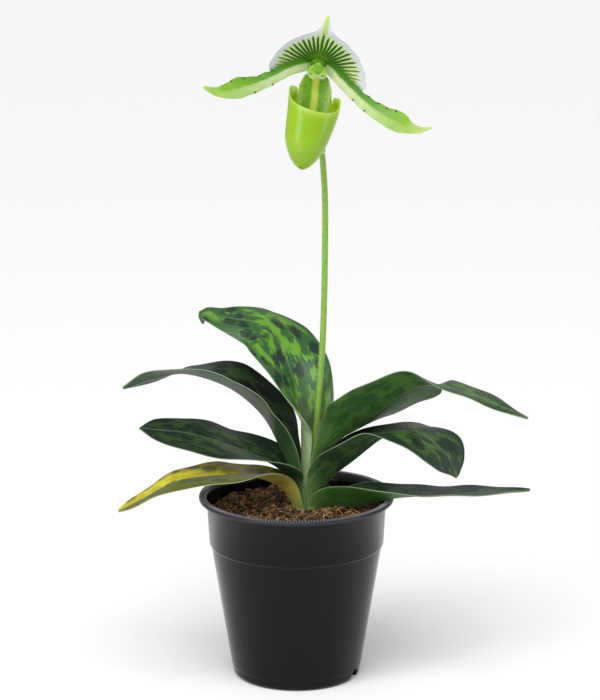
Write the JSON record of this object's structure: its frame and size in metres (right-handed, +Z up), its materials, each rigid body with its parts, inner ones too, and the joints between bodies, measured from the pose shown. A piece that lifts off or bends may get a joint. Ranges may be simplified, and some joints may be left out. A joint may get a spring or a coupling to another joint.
{
  "type": "potted orchid",
  "caption": "Slipper orchid in flower: a striped, hooded bloom with a green pouch on a tall stem, over mottled keeled leaves in a round black pot of bark mix.",
  "frame": {"origin": "centre of the flat underside of the pot", "axes": "+Z up, the plant's height; -Y towards the viewer of the flower's front; +X to that viewer's right"},
  "size_m": [0.2179, 0.105, 0.3593],
  "materials": {
    "pot_plastic": "thin moulded black plastic with a soft sheen",
    "bark_mix": "dry bark bits and coconut fibre",
    "root": "felted brown roots",
    "leaf": "smooth dark green leaf, mottled paler",
    "leaf_old": "smooth yellowing leaf with olive mottling",
    "stem": "yellow-green stem with short down",
    "sepal": "white sepal with dark green stripes",
    "petal": "soft green petal",
    "pouch": "waxy yellow-green pouch",
    "column": "waxy pale green"
  },
  "bodies": {
    "root": {"pot": "pot_plastic", "potting_mix": "bark_mix", "crown_and_roots": "root", "leaf_1": "leaf_old", "leaf_2": "leaf", "leaf_3": "leaf", "leaf_4": "leaf", "leaf_5": "leaf", "leaf_6": "leaf", "leaf_7": "leaf", "scape": "stem", "ovary": "stem", "bract": "stem", "dorsal_sepal": "sepal", "petal_left": "petal", "petal_right": "petal", "synsepal": "petal", "pouch": "pouch", "column": "column"}
  },
  "joints": []
}
